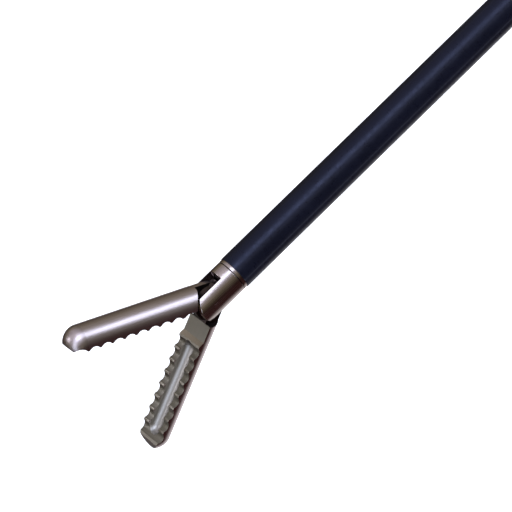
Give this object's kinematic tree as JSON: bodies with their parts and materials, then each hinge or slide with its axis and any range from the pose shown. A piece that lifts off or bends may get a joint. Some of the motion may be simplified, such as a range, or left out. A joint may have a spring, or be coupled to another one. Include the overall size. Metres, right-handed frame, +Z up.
{
  "type": "laparoscopic grasper",
  "caption": "Laparoscopic grasper: toothed double-action jaws on a 5 mm insulated shaft, with a rotation knob and a ring handle.",
  "frame": {"origin": "on the shaft's axis, at the front face of the rotation knob, where the free shaft begins", "axes": "+X along the shaft from the jaws to the handle, +Z up, away from the finger rings, +Y across the handle; the jaws turn about Y"},
  "size_m": [0.4367, 0.0242, 0.1125],
  "materials": {
    "jaw_steel": "satin, fine lengthwise grind",
    "fork_steel": "satin",
    "bright_steel": "polished",
    "tube_steel": "drawn",
    "insulation": "smooth, slightly glossy",
    "handle_black": "fine moulded grain",
    "knob_grey": "fine moulded grain",
    "button_blue": "fine moulded grain",
    "collar_black": "smooth",
    "bearing_plastic": "smooth",
    "seal_rubber": "smooth",
    "contact_brass": "plain"
  },
  "bodies": {
    "handle": {"handle_shell_left": "handle_black", "handle_shell_right": "handle_black", "casing_screws": "bright_steel", "casing_nuts": "bright_steel", "lever_pin": "bright_steel", "button_spring": "bright_steel", "hf_post": "bright_steel", "hf_collar": "collar_black", "contact_strip": "contact_brass"},
    "shaft": {"outer_tube": "tube_steel", "insulation_sleeve": "insulation", "end_ring": "fork_steel", "clevis": "fork_steel", "jaw_pivot_pin": "fork_steel", "rod_guides": "bearing_plastic", "tube_hub": "tube_steel", "rod_seal": "seal_rubber", "rotation_knob": "knob_grey", "knob_screw": "bright_steel"},
    "rod": {"pull_rod": "bright_steel", "rod_ball": "bright_steel", "rod_blade": "bright_steel", "drive_pin": "bright_steel"},
    "upper_jaw": {"upper_jaw": "jaw_steel"},
    "lower_jaw": {"lower_jaw": "jaw_steel"},
    "lever": {"thumb_lever": "handle_black", "lever_bush": "contact_brass"},
    "shuttle": {"shuttle": "tube_steel", "shuttle_cap": "tube_steel"},
    "button": {"release_button": "button_blue"}
  },
  "joints": [
    {"name": "thumb_lever", "type": "hinge", "parent": "handle", "child": "lever", "pos_m": [0.0665, 0, -0.0054], "axis": [0, 1, 0], "range_deg": [-0.99, 10.14]},
    {"name": "shuttle_slide", "type": "slide", "parent": "handle", "child": "shuttle", "axis": [1, 0, 0], "range_m": [-0.00015, 0.00102]},
    {"name": "knob_spin", "type": "hinge", "parent": "handle", "child": "shaft", "pos_m": [0, 0, 0], "axis": [1, 0, 0], "continuous": true},
    {"name": "rod_slide", "type": "slide", "parent": "shaft", "child": "rod", "axis": [1, 0, 0], "range_m": [-0.00015, 0.00102]},
    {"name": "upper_jaw_pivot", "type": "hinge", "parent": "shaft", "child": "upper_jaw", "pos_m": [-0.3077, 0, 0], "axis": [0, 1, 0], "range_deg": [-32.5, 4]},
    {"name": "lower_jaw_pivot", "type": "hinge", "parent": "shaft", "child": "lower_jaw", "pos_m": [-0.3077, 0, 0], "axis": [0, 1, 0], "range_deg": [-4, 32.5]},
    {"name": "release_press", "type": "slide", "parent": "handle", "child": "button", "axis": [0, 0, -1], "range_m": [0, 0.0015], "stiffness_N_per_m": 600, "springref_m": -0.002, "deforming": ["button_spring"]}
  ],
  "couplings": [
    {"joint": "shuttle_slide", "follows": "thumb_lever", "m_per_rad": 0.0054},
    {"joint": "rod_slide", "follows": "thumb_lever", "m_per_rad": 0.0054},
    {"joint": "upper_jaw_pivot", "follows": "thumb_lever", "ratio": -3.0159},
    {"joint": "lower_jaw_pivot", "follows": "thumb_lever", "ratio": 3.0159}
  ]
}
